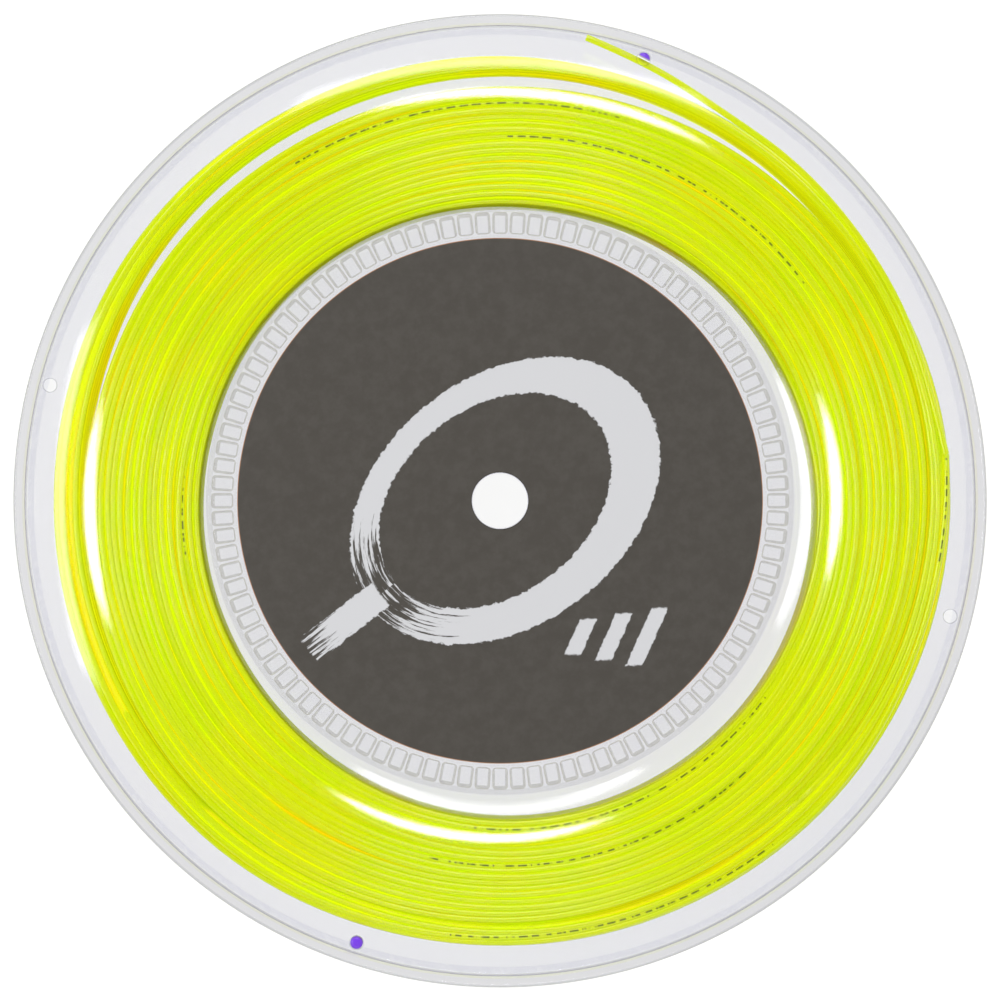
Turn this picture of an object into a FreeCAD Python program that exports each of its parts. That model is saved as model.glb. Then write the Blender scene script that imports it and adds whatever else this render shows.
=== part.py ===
"""String reel: a clear two-flange reel wound with tennis string. Millimetres, +Z up.

The reel lies flat: the rear flange's rim stands on z = 0, the spindle hole's axis is the Z axis,
and the front flange with its label faces up.
"""
import FreeCAD, Part
import math
import os

import Sketcher
from FreeCAD import Placement, Rotation, Vector

doc = FreeCAD.newDocument("string_reel")
sizes = doc.addObject("Spreadsheet::Sheet", "sizes")

SIZES = [
    ("reel_width", 30.0),
    ("rim_radius", 87.5),
    ("bore_radius", 5.0),
    ("flange_thickness", 1.3),
    ("bead_width", 2.0),
    ("bead_slope", 0.4),
    ("bead_rise", 1.0),
    ("hub_recess", 1.3),
    ("crown_inner_radius", 54.1),
    ("crown_outer_radius", 81.5),
    ("crown_arc_radius", 74.0),
    ("edge_round", 0.45),
    ("seat_radius", 47.7),
    ("seat_recess", 0.25),
    ("collar_radius", 7.2),
    ("collar_height", 3.0),
    ("spigot_radius", 47.3),
    ("spigot_wall", 1.4),
    ("spigot_height", 3.0),
    ("peg_count", 10),
    ("peg_height", 4.0),
    ("peg_clearance", 0.1),
    ("drum_inner_radius", 47.4),
    ("drum_outer_radius", 53.0),
    ("drum_end_gap", 0.05),
    ("cell_count", 100),
    ("cell_inner_radius", 48.3),
    ("cell_length", 3.6),
    ("cell_width", 2.4),
    ("cell_corner", 0.45),
    ("cell_depth", 5.0),
    ("rim_hole_circle", 83.6),
    ("rim_hole_radius", 1.2),
    ("tail_hole_angle", 72.0),
    ("open_hole_angle", 165.6),
    ("label_radius", 47.35),
    ("label_hole_radius", 5.2),
    ("label_thickness", 0.12),
    ("label_glue", 0.02),
    ("string_diameter", 1.2),
    ("winding_end_gap", 0.3),
    ("loose_end_gap", 0.8),
    ("winding_inner_radius", 55.6),
    ("winding_inner_x", 1.3),
    ("winding_inner_y", -1.8),
    ("winding_outer_radius", 75.5),
    ("winding_outer_x", 0.9),
    ("winding_outer_y", -0.5),
    ("loose_inner_radius", 76.9),
    ("loose_inner_x", 0.8),
    ("loose_inner_y", 0.7),
    ("loose_outer_radius", 80.4),
    ("loose_outer_x", 0.4),
    ("loose_outer_y", -0.2),
    ("plug_radius", 1.15),
    ("plug_length", 3.2),
    ("plug_dome", 0.6),
    ("plug_lead", 0.3),
    ("plug_flat", 0.3),
    ("plug_flat_turn", 152.0),
]

# The string's free end, as the corners of its route: it leaves the outermost turn on the reel's
# right, follows the turns round, runs off straight across the upper rim hole and ends at the rim.
TAIL_ROUTE = [
    (80.4, 8.4, 26.3),
    (75.9, 27.6, 26.35),
    (66.9, 45.3, 26.3),
    (54.2, 60.3, 26.3),
    (39.5, 70.6, 26.3),
    (26.5, 79.0, 26.3),
    (15.6, 83.6, 25.3),
]
ARC_SHARE = 0.45

# Heights of a flange's hub, outside and inside, above the plane of its rim.
HUB_FACE = "bead_rise + hub_recess"
HUB_INNER_FACE = "bead_rise + hub_recess + flange_thickness"


def fill_sheet():
    """Writes each driving dimension into the sheet as a plain number with an alias."""
    for row, (alias, number) in enumerate(SIZES, start=1):
        sizes.set("A%d" % row, alias)
        sizes.set("B%d" % row, str(number))
        sizes.setAlias("B%d" % row, alias)
    doc.recompute()


def bound(formula):
    """The formula with each driving dimension's name spelled as its cell in the sheet."""
    words = formula.split(" ")
    aliases = {alias for alias, _ in SIZES}
    return " ".join("sizes." + word if word in aliases else word for word in words)


def number(formula):
    """The present value of a formula over the driving dimensions."""
    found = sizes.evalExpression(bound(formula))
    return float(getattr(found, "Value", found))


def bind(thing, prop, formula):
    thing.setExpression(prop, bound(formula))


def new_body(label):
    body = doc.addObject("PartDesign::Body", label)
    body.Label = label
    return body


def origin_feature(body, role):
    return [f for f in body.Origin.OriginFeatures if f.Role == role][0]


def new_sketch(body, name, plane):
    sketch = body.newObject("Sketcher::SketchObject", name)
    sketch.AttachmentSupport = [(origin_feature(body, plane), "")]
    sketch.MapMode = "FlatFace"
    return sketch


START, END, CENTRE = 1, 2, 3
ORIGIN, ACROSS_AXIS, UP_AXIS = (-1, 1), -1, -2


def place_point(sketch, shape, which, across, up):
    """Ties one point of a drawn shape to its two coordinates, each a formula."""
    for kind, formula, axis in (("DistanceX", across, UP_AXIS), ("DistanceY", up, ACROSS_AXIS)):
        value = number(formula)
        if abs(value) < 1e-9:
            sketch.addConstraint(Sketcher.Constraint("PointOnObject", shape, which, axis))
            continue
        at = sketch.addConstraint(Sketcher.Constraint(kind, *ORIGIN, shape, which, value))
        bind(sketch, "Constraints[%d]" % at, formula)


def draw_edge(sketch, start, end, middle):
    """Draws a line, or an arc through a middle point, and says which of its ends comes first."""
    if middle is None:
        return sketch.addGeometry(Part.LineSegment(start, end), False), START, END
    anticlockwise = (middle - start).cross(end - middle).z > 0
    if anticlockwise:
        return sketch.addGeometry(Part.Arc(start, middle, end), False), START, END
    return sketch.addGeometry(Part.Arc(end, middle, start), False), END, START


def draw_outline(sketch, corners):
    """Draws a closed outline through corners given as pairs of formulas.

    A corner may carry a third and fourth formula: how far the edge to the next corner bulges
    upwards at its middle, and the radius of that arc.
    """
    points = [Vector(number(corner[0]), number(corner[1]), 0) for corner in corners]
    edges = []
    for corner, start, end in zip(corners, points, points[1:] + points[:1]):
        middle = None
        if len(corner) > 2:
            middle = (start + end) * 0.5 + Vector(0, number(corner[2]), 0)
        edges.append(draw_edge(sketch, start, end, middle))
    for (edge, _, last), (following, first, _) in zip(edges, edges[1:] + edges[:1]):
        sketch.addConstraint(Sketcher.Constraint("Coincident", edge, last, following, first))
    for (edge, first, _), corner in zip(edges, corners):
        place_point(sketch, edge, first, corner[0], corner[1])
        if len(corner) > 2:
            at = sketch.addConstraint(Sketcher.Constraint("Radius", edge, number(corner[3])))
            bind(sketch, "Constraints[%d]" % at, corner[3])


def draw_circle(sketch, radius, across="0", up="0"):
    """Draws a circle whose radius and centre are formulas."""
    centre = Vector(number(across), number(up), 0)
    circle = sketch.addGeometry(Part.Circle(centre, Vector(0, 0, 1), number(radius)), False)
    at = sketch.addConstraint(Sketcher.Constraint("Radius", circle, number(radius)))
    bind(sketch, "Constraints[%d]" % at, radius)
    place_point(sketch, circle, CENTRE, across, up)


def revolve(body, sketch):
    turned = body.newObject("PartDesign::Revolution", "turned")
    turned.Profile = sketch
    turned.ReferenceAxis = (origin_feature(body, "Z_Axis"), [""])
    turned.Angle = 360
    body.Tip = turned
    doc.recompute()
    return turned


def pad(body, name, sketch, length):
    grown = body.newObject("PartDesign::Pad", name)
    grown.Profile = sketch
    bind(grown, "Length", length)
    body.Tip = grown
    doc.recompute()
    return grown


def pocket(body, name, sketch, length, upwards=True):
    """Cuts a horizontal sketch upwards or downwards, and makes sure that it took material away."""
    before = body.Shape.Volume
    cut = body.newObject("PartDesign::Pocket", name)
    cut.Profile = sketch
    cut.Reversed = upwards
    bind(cut, "Length", length)
    body.Tip = cut
    doc.recompute()
    if body.Shape.Volume >= before:
        raise RuntimeError("%s: %s cut nothing" % (body.Label, name))
    return cut


def around_axis(body, name, feature, count):
    """Repeats a feature evenly all round the Z axis."""
    ring = body.newObject("PartDesign::PolarPattern", name)
    ring.Originals = [feature]
    ring.Axis = (origin_feature(body, "Z_Axis"), [""])
    ring.Angle = 360
    bind(ring, "Occurrences", count)
    body.Tip = ring
    doc.recompute()
    return ring


def circle_edges(shape, radius, height):
    """Names of the shape's round edges of one radius at one height."""
    names = []
    for place, edge in enumerate(shape.Edges, start=1):
        curve = edge.Curve
        if not isinstance(curve, Part.Circle):
            continue
        same_radius = abs(curve.Radius - radius) < 1e-4
        if same_radius and abs(curve.Center.z - height) < 1e-4:
            names.append("Edge%d" % place)
    return names


def soften(body, name, kind, edges, amount):
    """Rounds or bevels circular edges, each given as (radius, height) formulas."""
    base = body.Tip
    names = []
    for radius, height in edges:
        names += circle_edges(base.Shape, number(radius), number(height))
    if len(names) < len(edges):
        raise RuntimeError("%s: %s found too few edges" % (body.Label, name))
    softened = body.newObject("PartDesign::" + kind, name)
    softened.Base = (base, names)
    bind(softened, "Radius" if kind == "Fillet" else "Size", amount)
    body.Tip = softened
    doc.recompute()
    if softened.Shape.isNull() or not softened.Shape.isValid():
        raise RuntimeError("%s: %s failed" % (body.Label, name))


def draw_cell(sketch, grow="0"):
    """Draws one rounded oblong on the drum's ring of cells, standing across the radius."""
    low = "cell_inner_radius - " + grow
    high = "cell_inner_radius + cell_length + " + grow
    half = "( cell_width / 2 + " + grow + " )"
    corner = "cell_corner"
    x0, x1, y1, r = number(low), number(high), number(half), number(corner)
    straight = [
        ((x0 + r, -y1), (x1 - r, -y1)),
        ((x1, -y1 + r), (x1, y1 - r)),
        ((x1 - r, y1), (x0 + r, y1)),
        ((x0, y1 - r), (x0, -y1 + r)),
    ]
    centres = [(x1 - r, -y1 + r), (x1 - r, y1 - r), (x0 + r, y1 - r), (x0 + r, -y1 + r)]
    lines, arcs = [], []
    for (start, end), centre, quarter in zip(straight, centres, range(4)):
        segment = Part.LineSegment(Vector(*start, 0), Vector(*end, 0))
        lines.append(sketch.addGeometry(segment, False))
        first = (quarter - 1) * math.pi / 2
        circle = Part.Circle(Vector(*centre, 0), Vector(0, 0, 1), r)
        arc = Part.ArcOfCircle(circle, first, first + math.pi / 2)
        arcs.append(sketch.addGeometry(arc, False))
    for line, arc, following in zip(lines, arcs, lines[1:] + lines[:1]):
        sketch.addConstraint(Sketcher.Constraint("Tangent", line, 2, arc, 1))
        sketch.addConstraint(Sketcher.Constraint("Tangent", arc, 2, following, 1))
    for arc in arcs[1:]:
        sketch.addConstraint(Sketcher.Constraint("Equal", arcs[0], arc))
    sketch.addConstraint(Sketcher.Constraint("Horizontal", lines[0]))
    sketch.addConstraint(Sketcher.Constraint("Vertical", lines[1]))
    sketch.addConstraint(Sketcher.Constraint("Symmetric", lines[0], 1, lines[2], 2, -1))
    measures = [
        (Sketcher.Constraint("Radius", arcs[0], r), corner),
        (Sketcher.Constraint("DistanceX", -1, 1, lines[3], 1, x0), low),
        (Sketcher.Constraint("DistanceX", -1, 1, lines[1], 1, x1), high),
        (Sketcher.Constraint("DistanceY", lines[0], 1, lines[2], 2, 2 * y1), "2 * " + half),
    ]
    for constraint, formula in measures:
        at = sketch.addConstraint(constraint)
        bind(sketch, "Constraints[%d]" % at, formula)


def flange_outline():
    """Half section of a flange, its outer face down: web, label seat, crowned side, rim, spigot.

    The hub lies deeper than the band by the rim, so the crown is highest nearer the rim.
    """
    seat = HUB_FACE + " + seat_recess"
    rim_inner = "bead_rise + flange_thickness"
    web_top = HUB_INNER_FACE + " + seat_recess"
    bead_inner = "rim_radius - bead_width"
    spigot_inner = "spigot_radius - spigot_wall"
    crown_width = "( crown_outer_radius - crown_inner_radius )"
    crown = "0 - " + crown_width + " ^ 2 / ( 8 * crown_arc_radius )"
    return [
        ("bore_radius", seat),
        ("seat_radius", seat),
        ("seat_radius", HUB_FACE),
        ("crown_inner_radius", HUB_FACE, crown, "crown_arc_radius"),
        ("crown_outer_radius", "bead_rise"),
        (bead_inner, "bead_rise"),
        (bead_inner + " + bead_slope", "0"),
        ("rim_radius", "0"),
        ("rim_radius", rim_inner),
        ("crown_outer_radius", rim_inner, crown, "crown_arc_radius"),
        ("crown_inner_radius", HUB_INNER_FACE),
        ("spigot_radius", HUB_INNER_FACE),
        ("spigot_radius", HUB_INNER_FACE + " + spigot_height"),
        (spigot_inner, HUB_INNER_FACE + " + spigot_height"),
        (spigot_inner, web_top),
        ("collar_radius", web_top),
        ("collar_radius", web_top + " + collar_height"),
        ("bore_radius", web_top + " + collar_height"),
    ]


def make_flange(label):
    """A clear side disc, drawn with its outer face down on z = 0."""
    body = new_body(label)
    section = new_sketch(body, label + "_section", "XZ_Plane")
    draw_outline(section, flange_outline())
    revolve(body, section)
    rim_edges = [("rim_radius", "0"), ("rim_radius", "bead_rise + flange_thickness")]
    soften(body, label + "_rim_round", "Fillet", rim_edges, "edge_round")
    return body


def add_pegs(body, label):
    """Pegs on the flange's inner face that key into every tenth cell of the drum."""
    outline = new_sketch(body, label + "_peg_outline", "XY_Plane")
    draw_cell(outline, "( 0 - peg_clearance )")
    bind(outline, "AttachmentOffset.Base.z", HUB_INNER_FACE)
    doc.recompute()
    peg = pad(body, label + "_peg", outline, "peg_height")
    around_axis(body, label + "_pegs", peg, "peg_count")


def add_rim_holes(body):
    """Two pairs of string holes across the rim of the front flange, drawn face down."""
    for name, angle in (("tail_holes", "tail_hole_angle"), ("open_holes", "open_hole_angle")):
        outline = new_sketch(body, name + "_outline", "XY_Plane")
        across = "rim_hole_circle * cos( " + angle + " )"
        up = "0 - rim_hole_circle * sin( " + angle + " )"
        draw_circle(outline, "rim_hole_radius", across, up)
        doc.recompute()
        hole = pocket(body, name, outline, "3 * flange_thickness")
        ring = body.newObject("PartDesign::PolarPattern", name + "_pair")
        ring.Originals = [hole]
        ring.Axis = (origin_feature(body, "Z_Axis"), [""])
        ring.Angle = 360
        ring.Occurrences = 2
        body.Tip = ring
        doc.recompute()


def turn_face_up(body):
    """Turns a body over about X and lifts it, so that its outer face is the reel's front."""
    body.Placement = Placement(Vector(0, 0, number("reel_width")), Rotation(Vector(1, 0, 0), 180))
    bind(body, "Placement.Base.z", "reel_width")


def make_rear_flange():
    return make_flange("rear_flange")


def make_front_flange():
    body = make_flange("front_flange")
    add_pegs(body, "front_flange")
    add_rim_holes(body)
    turn_face_up(body)
    return body


def make_hub_drum():
    """The clear ring between the flanges, with a row of cells sunk into its front end."""
    body = new_body("hub_drum")
    ring = new_sketch(body, "drum_ring", "XY_Plane")
    draw_circle(ring, "drum_outer_radius")
    draw_circle(ring, "drum_inner_radius")
    height = "reel_width - 2 * ( " + HUB_INNER_FACE + " + drum_end_gap )"
    pad(body, "drum_wall", ring, height)
    outline = new_sketch(body, "cell_outline", "XY_Plane")
    draw_cell(outline)
    bind(outline, "AttachmentOffset.Base.z", height)
    doc.recompute()
    cell = pocket(body, "cell", outline, "cell_depth", upwards=False)
    around_axis(body, "cells", cell, "cell_count")
    bind(body, "Placement.Base.z", HUB_INNER_FACE + " + drum_end_gap")
    return body


def make_label(label, base):
    """A thin paper disc whose lower face lies at the height that base gives."""
    body = new_body(label)
    disc = new_sketch(body, label + "_disc", "XY_Plane")
    draw_circle(disc, "label_radius")
    draw_circle(disc, "label_hole_radius")
    pad(body, label + "_sheet", disc, "label_thickness")
    bind(body, "Placement.Base.z", base)
    return body


def make_winding(label, part, base):
    """A pack of turns between two circles that aren't quite concentric with the reel.

    Its lower end is at the height that base gives, and its upper end as far below the front.
    """
    body = new_body(label)
    ring = new_sketch(body, label + "_ring", "XY_Plane")
    for side in ("outer", "inner"):
        stem = part + "_" + side
        draw_circle(ring, stem + "_radius", stem + "_x", stem + "_y")
    pad(body, label + "_turns", ring, "reel_width - 2 * ( " + base + " )")
    bind(body, "Placement.Base.z", base)
    return body


def place_in_rim_hole(body, turn):
    """Stands a plug in a rim hole at an angle round the reel, its dome level with the rim."""
    body.Placement = Placement(Vector(), Rotation(Vector(0, 0, 1), number("plug_flat_turn")))
    bind(body, "Placement.Base.x", "rim_hole_circle * cos( " + turn + " )")
    bind(body, "Placement.Base.y", "rim_hole_circle * sin( " + turn + " )")
    bind(body, "Placement.Base.z", "reel_width - bead_rise - plug_length")


def make_plug(label, turn, flat_side):
    """A domed peg for a rim hole, with one side cut flat where the string passes it."""
    body = new_body(label)
    disc = new_sketch(body, label + "_disc", "XY_Plane")
    draw_circle(disc, "plug_radius")
    pad(body, label + "_stem", disc, "plug_length")
    soften(body, label + "_dome", "Fillet", [("plug_radius", "plug_length")], "plug_dome")
    soften(body, label + "_lead", "Chamfer", [("plug_radius", "0")], "plug_lead")
    if flat_side:
        half = new_sketch(body, label + "_flat", "XY_Plane")
        edge = "2 * plug_radius"
        flat = "0 - plug_flat"
        corners = [("0 - " + edge, flat), ("0 - " + edge, edge), (edge, edge), (edge, flat)]
        draw_outline(half, corners)
        doc.recompute()
        pocket(body, label + "_side", half, "2 * plug_length")
    place_in_rim_hole(body, turn)
    return body


def route_pieces(points):
    """Straight runs and tangent arcs through a route's corners, and each arc's radius."""
    pieces, radii = [], []
    start = points[0]
    for before, corner, after in zip(points, points[1:], points[2:]):
        into = (before - corner).normalize()
        out = (after - corner).normalize()
        half_turn = (math.pi - into.getAngle(out)) / 2
        cut = ARC_SHARE * min(before.distanceToPoint(corner), after.distanceToPoint(corner))
        radius = cut / math.tan(half_turn)
        entry = corner + into * cut
        leave = corner + out * cut
        inward = (into + out).normalize()
        middle = corner + inward * (radius / math.cos(half_turn) - radius)
        pieces.append(Part.LineSegment(start, entry).toShape())
        pieces.append(Part.Arc(entry, middle, leave).toShape())
        radii.append(radius)
        start = leave
    pieces.append(Part.LineSegment(start, points[-1]).toShape())
    return pieces, radii


def make_tail():
    """The string's free end, a round tube along its route."""
    points = [Vector(*corner) for corner in TAIL_ROUTE]
    pieces, radii = route_pieces(points)
    path = Part.Wire(pieces)
    radius = number("string_diameter") / 2
    section = Part.Wire([Part.makeCircle(radius, points[0], points[1] - points[0])])
    tube = path.makePipeShell([section], True, False)
    expected = math.pi * radius * radius * path.Length
    if abs(tube.Volume / expected - 1) > 0.01:
        raise RuntimeError("string_tail: the tube's volume doesn't match its route")
    print("string_tail length %.1f mm, smallest radius %.1f mm" % (path.Length, min(radii)))
    tail = doc.addObject("Part::Feature", "string_tail")
    tail.Label = "string_tail"
    tail.Shape = tube
    return tail


def check_document():
    """Stops if any object failed to compute."""
    for thing in doc.Objects:
        if "Invalid" in thing.State or "Error" in thing.State:
            raise RuntimeError("%s failed: %s" % (thing.Name, thing.State))


def write_parts(parts):
    os.makedirs("parts", exist_ok=True)
    for part in parts:
        if part.Shape.isNull() or not part.Shape.isValid():
            raise RuntimeError("%s has no valid shape" % part.Label)
    for part in parts:
        part.Shape.exportStep("parts/%s.step" % part.Label)
        print("%s %.1f mm3" % (part.Label, part.Shape.Volume))


fill_sheet()
front_seat = "reel_width - ( " + HUB_FACE + " + seat_recess ) + label_glue"
rear_seat = HUB_FACE + " + seat_recess - label_glue - label_thickness"
winding_base = HUB_INNER_FACE + " + winding_end_gap"
loose_base = "bead_rise + flange_thickness + loose_end_gap"
parts = [
    make_rear_flange(),
    make_front_flange(),
    make_hub_drum(),
    make_label("front_label", front_seat),
    make_label("rear_label", rear_seat),
    make_winding("string_winding", "winding", winding_base),
    make_winding("loose_turns", "loose", loose_base),
    make_plug("tail_plug", "tail_hole_angle", True),
    make_plug("rim_plug", "tail_hole_angle + 180", False),
    make_tail(),
]
doc.recompute()
check_document()
write_parts(parts)
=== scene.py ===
"""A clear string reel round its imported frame: flanges, drum, labels, plugs and every turn of string."""

import math

import bmesh
import bpy
import numpy as np
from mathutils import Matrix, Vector
from mathutils.geometry import tessellate_polygon


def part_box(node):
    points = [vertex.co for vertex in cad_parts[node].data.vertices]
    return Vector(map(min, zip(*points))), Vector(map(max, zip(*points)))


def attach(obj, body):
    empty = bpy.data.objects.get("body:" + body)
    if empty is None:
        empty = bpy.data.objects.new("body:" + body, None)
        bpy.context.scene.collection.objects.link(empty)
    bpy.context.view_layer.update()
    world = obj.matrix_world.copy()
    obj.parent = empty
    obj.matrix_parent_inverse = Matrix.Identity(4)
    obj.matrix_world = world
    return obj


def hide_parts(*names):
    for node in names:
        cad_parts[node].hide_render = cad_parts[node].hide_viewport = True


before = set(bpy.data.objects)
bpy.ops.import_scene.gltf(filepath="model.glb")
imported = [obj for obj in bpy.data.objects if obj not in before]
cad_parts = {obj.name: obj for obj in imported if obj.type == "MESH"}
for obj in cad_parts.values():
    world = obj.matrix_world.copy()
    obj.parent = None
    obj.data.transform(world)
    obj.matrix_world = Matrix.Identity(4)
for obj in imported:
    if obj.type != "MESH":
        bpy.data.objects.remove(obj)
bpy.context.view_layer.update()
MM = 0.001

# Sizes of the reel in millimetres, as in its CAD source.
REEL_WIDTH = 30.0
RIM_RADIUS = 87.5
BORE_RADIUS = 5.0
FLANGE_THICKNESS = 1.3
BEAD_WIDTH, BEAD_SLOPE, BEAD_RISE = 2.0, 0.4, 1.0
HUB_RECESS = 1.3
CROWN_INNER, CROWN_OUTER, CROWN_ARC = 54.1, 81.5, 74.0
EDGE_ROUND = 0.45
SEAT_RADIUS, SEAT_RECESS = 47.7, 0.25
COLLAR_RADIUS, COLLAR_HEIGHT = 7.2, 3.0
SPIGOT_RADIUS, SPIGOT_WALL, SPIGOT_HEIGHT = 47.3, 1.4, 3.0
PEG_COUNT, PEG_HEIGHT, PEG_CLEARANCE = 10, 4.0, 0.1
DRUM_INNER, DRUM_OUTER, DRUM_END_GAP = 47.4, 53.0, 0.05
CELL_COUNT, CELL_INNER, CELL_LENGTH, CELL_WIDTH, CELL_CORNER = 100, 48.3, 3.6, 2.4, 0.45
CELL_DEPTH = 5.0
HOLE_CIRCLE, HOLE_RADIUS = 83.6, 1.2
HOLE_CHAMFER, HOLE_SEGMENTS = 0.15, 48
HOLE_ANGLES = (72.0, 252.0, 165.6, 345.6)
LABEL_RADIUS, LABEL_HOLE = 47.35, 5.2
STRING_DIAMETER = 1.2

HUB_FACE = BEAD_RISE + HUB_RECESS
HUB_INNER_FACE = HUB_FACE + FLANGE_THICKNESS

# The free end's route, the same points as in the CAD source.
TAIL_ROUTE = [
    (80.4, 8.4, 26.3),
    (75.9, 27.6, 26.35),
    (66.9, 45.3, 26.3),
    (54.2, 60.3, 26.3),
    (39.5, 70.6, 26.3),
    (26.5, 79.0, 26.3),
    (15.6, 83.6, 25.3),
]


# ---------------------------------------------------------------- camera

# Metres: how far the camera stands off the reel's axis, towards +x and +y, and above the floor.
CAMERA_X, CAMERA_Y, CAMERA_HEIGHT = -0.0001, 0.00023, 1.23
LENS = 240.6
FAR_CLIP = 20


def make_camera():
    """Looks straight down on the front label, from far enough away to be almost free of perspective."""
    data = bpy.data.cameras.new("camera")
    data.lens = LENS
    data.clip_end = FAR_CLIP
    camera = bpy.data.objects.new("camera", data)
    camera.location = (CAMERA_X, CAMERA_Y, CAMERA_HEIGHT)
    bpy.context.scene.collection.objects.link(camera)
    bpy.context.scene.camera = camera


# ---------------------------------------------------------------- meshes

WELD_DISTANCE = 1e-7
# Degrees between two faces from which the edge between them stays sharp.
SHARP_ANGLE = 25
# Millimetres within which a point counts as lying on a kink.
KINK_TOLERANCE = 0.01


def link(name, mesh, material):
    """A mesh as a piece of the scene, in one material."""
    mesh.materials.append(material)
    piece = bpy.data.objects.new(name, mesh)
    bpy.context.scene.collection.objects.link(piece)
    return piece


def mesh_of(name, points, faces):
    """A smooth-shaded mesh from points in millimetres."""
    mesh = bpy.data.meshes.new(name)
    mesh.from_pydata(np.asarray(points) * MM, [], faces)
    mesh.update()
    mesh.shade_smooth()
    return mesh


def weld(mesh):
    """Joins points that lie together and turns every face outwards."""
    work = bmesh.new()
    work.from_mesh(mesh)
    bmesh.ops.remove_doubles(work, verts=work.verts, dist=WELD_DISTANCE)
    bmesh.ops.recalc_face_normals(work, faces=work.faces)
    work.to_mesh(mesh)
    work.free()
    mesh.update()


def lathe_points(profile, segments):
    """Rings of points, one for each (radius, height) of the profile, and the quads between them."""
    turn = np.arange(segments) * (2 * math.pi / segments)
    rings = [
        np.stack([r * np.cos(turn), r * np.sin(turn), np.full(segments, z)], axis=1)
        for r, z in profile
    ]
    count = len(profile)
    faces = []
    for ring in range(count):
        low, high = ring * segments, (ring + 1) % count * segments
        for at in range(segments):
            after = (at + 1) % segments
            faces.append((low + at, low + after, high + after, high + at))
    return np.concatenate(rings), faces


def sharpen(mesh, kinks=()):
    """Keeps sharp edges, and the circles at given (radius, height), unsmoothed."""
    mesh.set_sharp_from_angle(angle=math.radians(SHARP_ANGLE))
    places = np.empty(len(mesh.vertices) * 3)
    mesh.vertices.foreach_get("co", places)
    places = places.reshape(-1, 3) / MM
    radii = np.hypot(places[:, 0], places[:, 1])
    ends = np.empty(len(mesh.edges) * 2, dtype=np.int32)
    mesh.edges.foreach_get("vertices", ends)
    ends = ends.reshape(-1, 2)
    marks = mesh.attributes.get("sharp_edge")
    if marks is None:
        marks = mesh.attributes.new("sharp_edge", "BOOLEAN", "EDGE")
    sharp = np.zeros(len(mesh.edges), dtype=bool)
    marks.data.foreach_get("value", sharp)
    for radius, height in kinks:
        at_radius = abs(radii - radius) < KINK_TOLERANCE
        here = at_radius & (abs(places[:, 2] - height) < KINK_TOLERANCE)
        sharp |= here[ends[:, 0]] & here[ends[:, 1]]
    marks.data.foreach_set("value", sharp)


def rounded(corner, start, count, radius):
    """Points of a quarter round about a centre, from a starting angle in degrees."""
    turns = [math.radians(start + 90 * step / count) for step in range(count + 1)]
    return [(corner[0] + radius * math.cos(t), corner[1] + radius * math.sin(t)) for t in turns]


# ---------------------------------------------------------------- flanges

CROWN_STEPS = 36
EDGE_STEPS = 6
CORNER_STEPS = 4
SMALLEST_CORNER = 0.05
FLANGE_SEGMENTS = 400
# How deep a peg's foot is sunk into its flange.
PEG_SINK = 0.02
# How far the cutter for the string holes reaches below and above the flange's outer face.
CUT_BELOW, CUT_ABOVE = 3, 1
# The upright part of a face's normal from which it counts as flat: on the bead, beside the
# rim's rounds, beside the string holes and in the drum's cells.
BEAD_FLAT, ROUND_FLAT, HOLE_FLAT, CELL_FLAT = 0.9, 0.98, 0.8, 0.95


def crown_height(radius):
    """Height of a flange's crowned side above its rim's plane, outer face down."""
    half = (CROWN_OUTER - CROWN_INNER) / 2
    tilt = math.atan2(-HUB_RECESS, 2 * half)
    half_chord = half / math.cos(tilt)
    rise = math.sqrt(CROWN_ARC ** 2 - half_chord ** 2)
    across = (CROWN_OUTER + CROWN_INNER) / 2 - rise * math.sin(tilt)
    up = (HUB_FACE + BEAD_RISE) / 2 + rise * math.cos(tilt)
    return up - np.sqrt(CROWN_ARC ** 2 - (radius - across) ** 2)


def side_height(radius):
    """Height of a flange's outer face at any radius outside its label."""
    radius = np.asarray(radius, float)
    crown = crown_height(np.clip(radius, CROWN_INNER, CROWN_OUTER))
    return np.where(radius < CROWN_INNER, HUB_FACE, np.where(radius > CROWN_OUTER, BEAD_RISE, crown))


def flange_profile():
    """Half section of a flange, its outer face down, as (radius, height)."""
    seat = HUB_FACE + SEAT_RECESS
    web_top = HUB_INNER_FACE + SEAT_RECESS
    rim_inner = BEAD_RISE + FLANGE_THICKNESS
    crown = np.linspace(CROWN_INNER, CROWN_OUTER, CROWN_STEPS + 1)
    outside = [(r, float(crown_height(r))) for r in crown]
    inside = [(r, z + FLANGE_THICKNESS) for r, z in reversed(outside)]
    bead_inner = RIM_RADIUS - BEAD_WIDTH
    round_centre = RIM_RADIUS - EDGE_ROUND
    spigot_inner = SPIGOT_RADIUS - SPIGOT_WALL
    return (
        [(BORE_RADIUS, seat), (SEAT_RADIUS, seat), (SEAT_RADIUS, HUB_FACE)]
        + outside
        + [(bead_inner, BEAD_RISE), (bead_inner + BEAD_SLOPE, 0.0)]
        + rounded((round_centre, EDGE_ROUND), -90, EDGE_STEPS, EDGE_ROUND)
        + rounded((round_centre, rim_inner - EDGE_ROUND), 0, EDGE_STEPS, EDGE_ROUND)
        + [(bead_inner, rim_inner)]
        + inside
        + [(SPIGOT_RADIUS, HUB_INNER_FACE), (SPIGOT_RADIUS, HUB_INNER_FACE + SPIGOT_HEIGHT)]
        + [(spigot_inner, HUB_INNER_FACE + SPIGOT_HEIGHT), (spigot_inner, web_top)]
        + [(COLLAR_RADIUS, web_top), (COLLAR_RADIUS, web_top + COLLAR_HEIGHT)]
        + [(BORE_RADIUS, web_top + COLLAR_HEIGHT)]
    )


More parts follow.
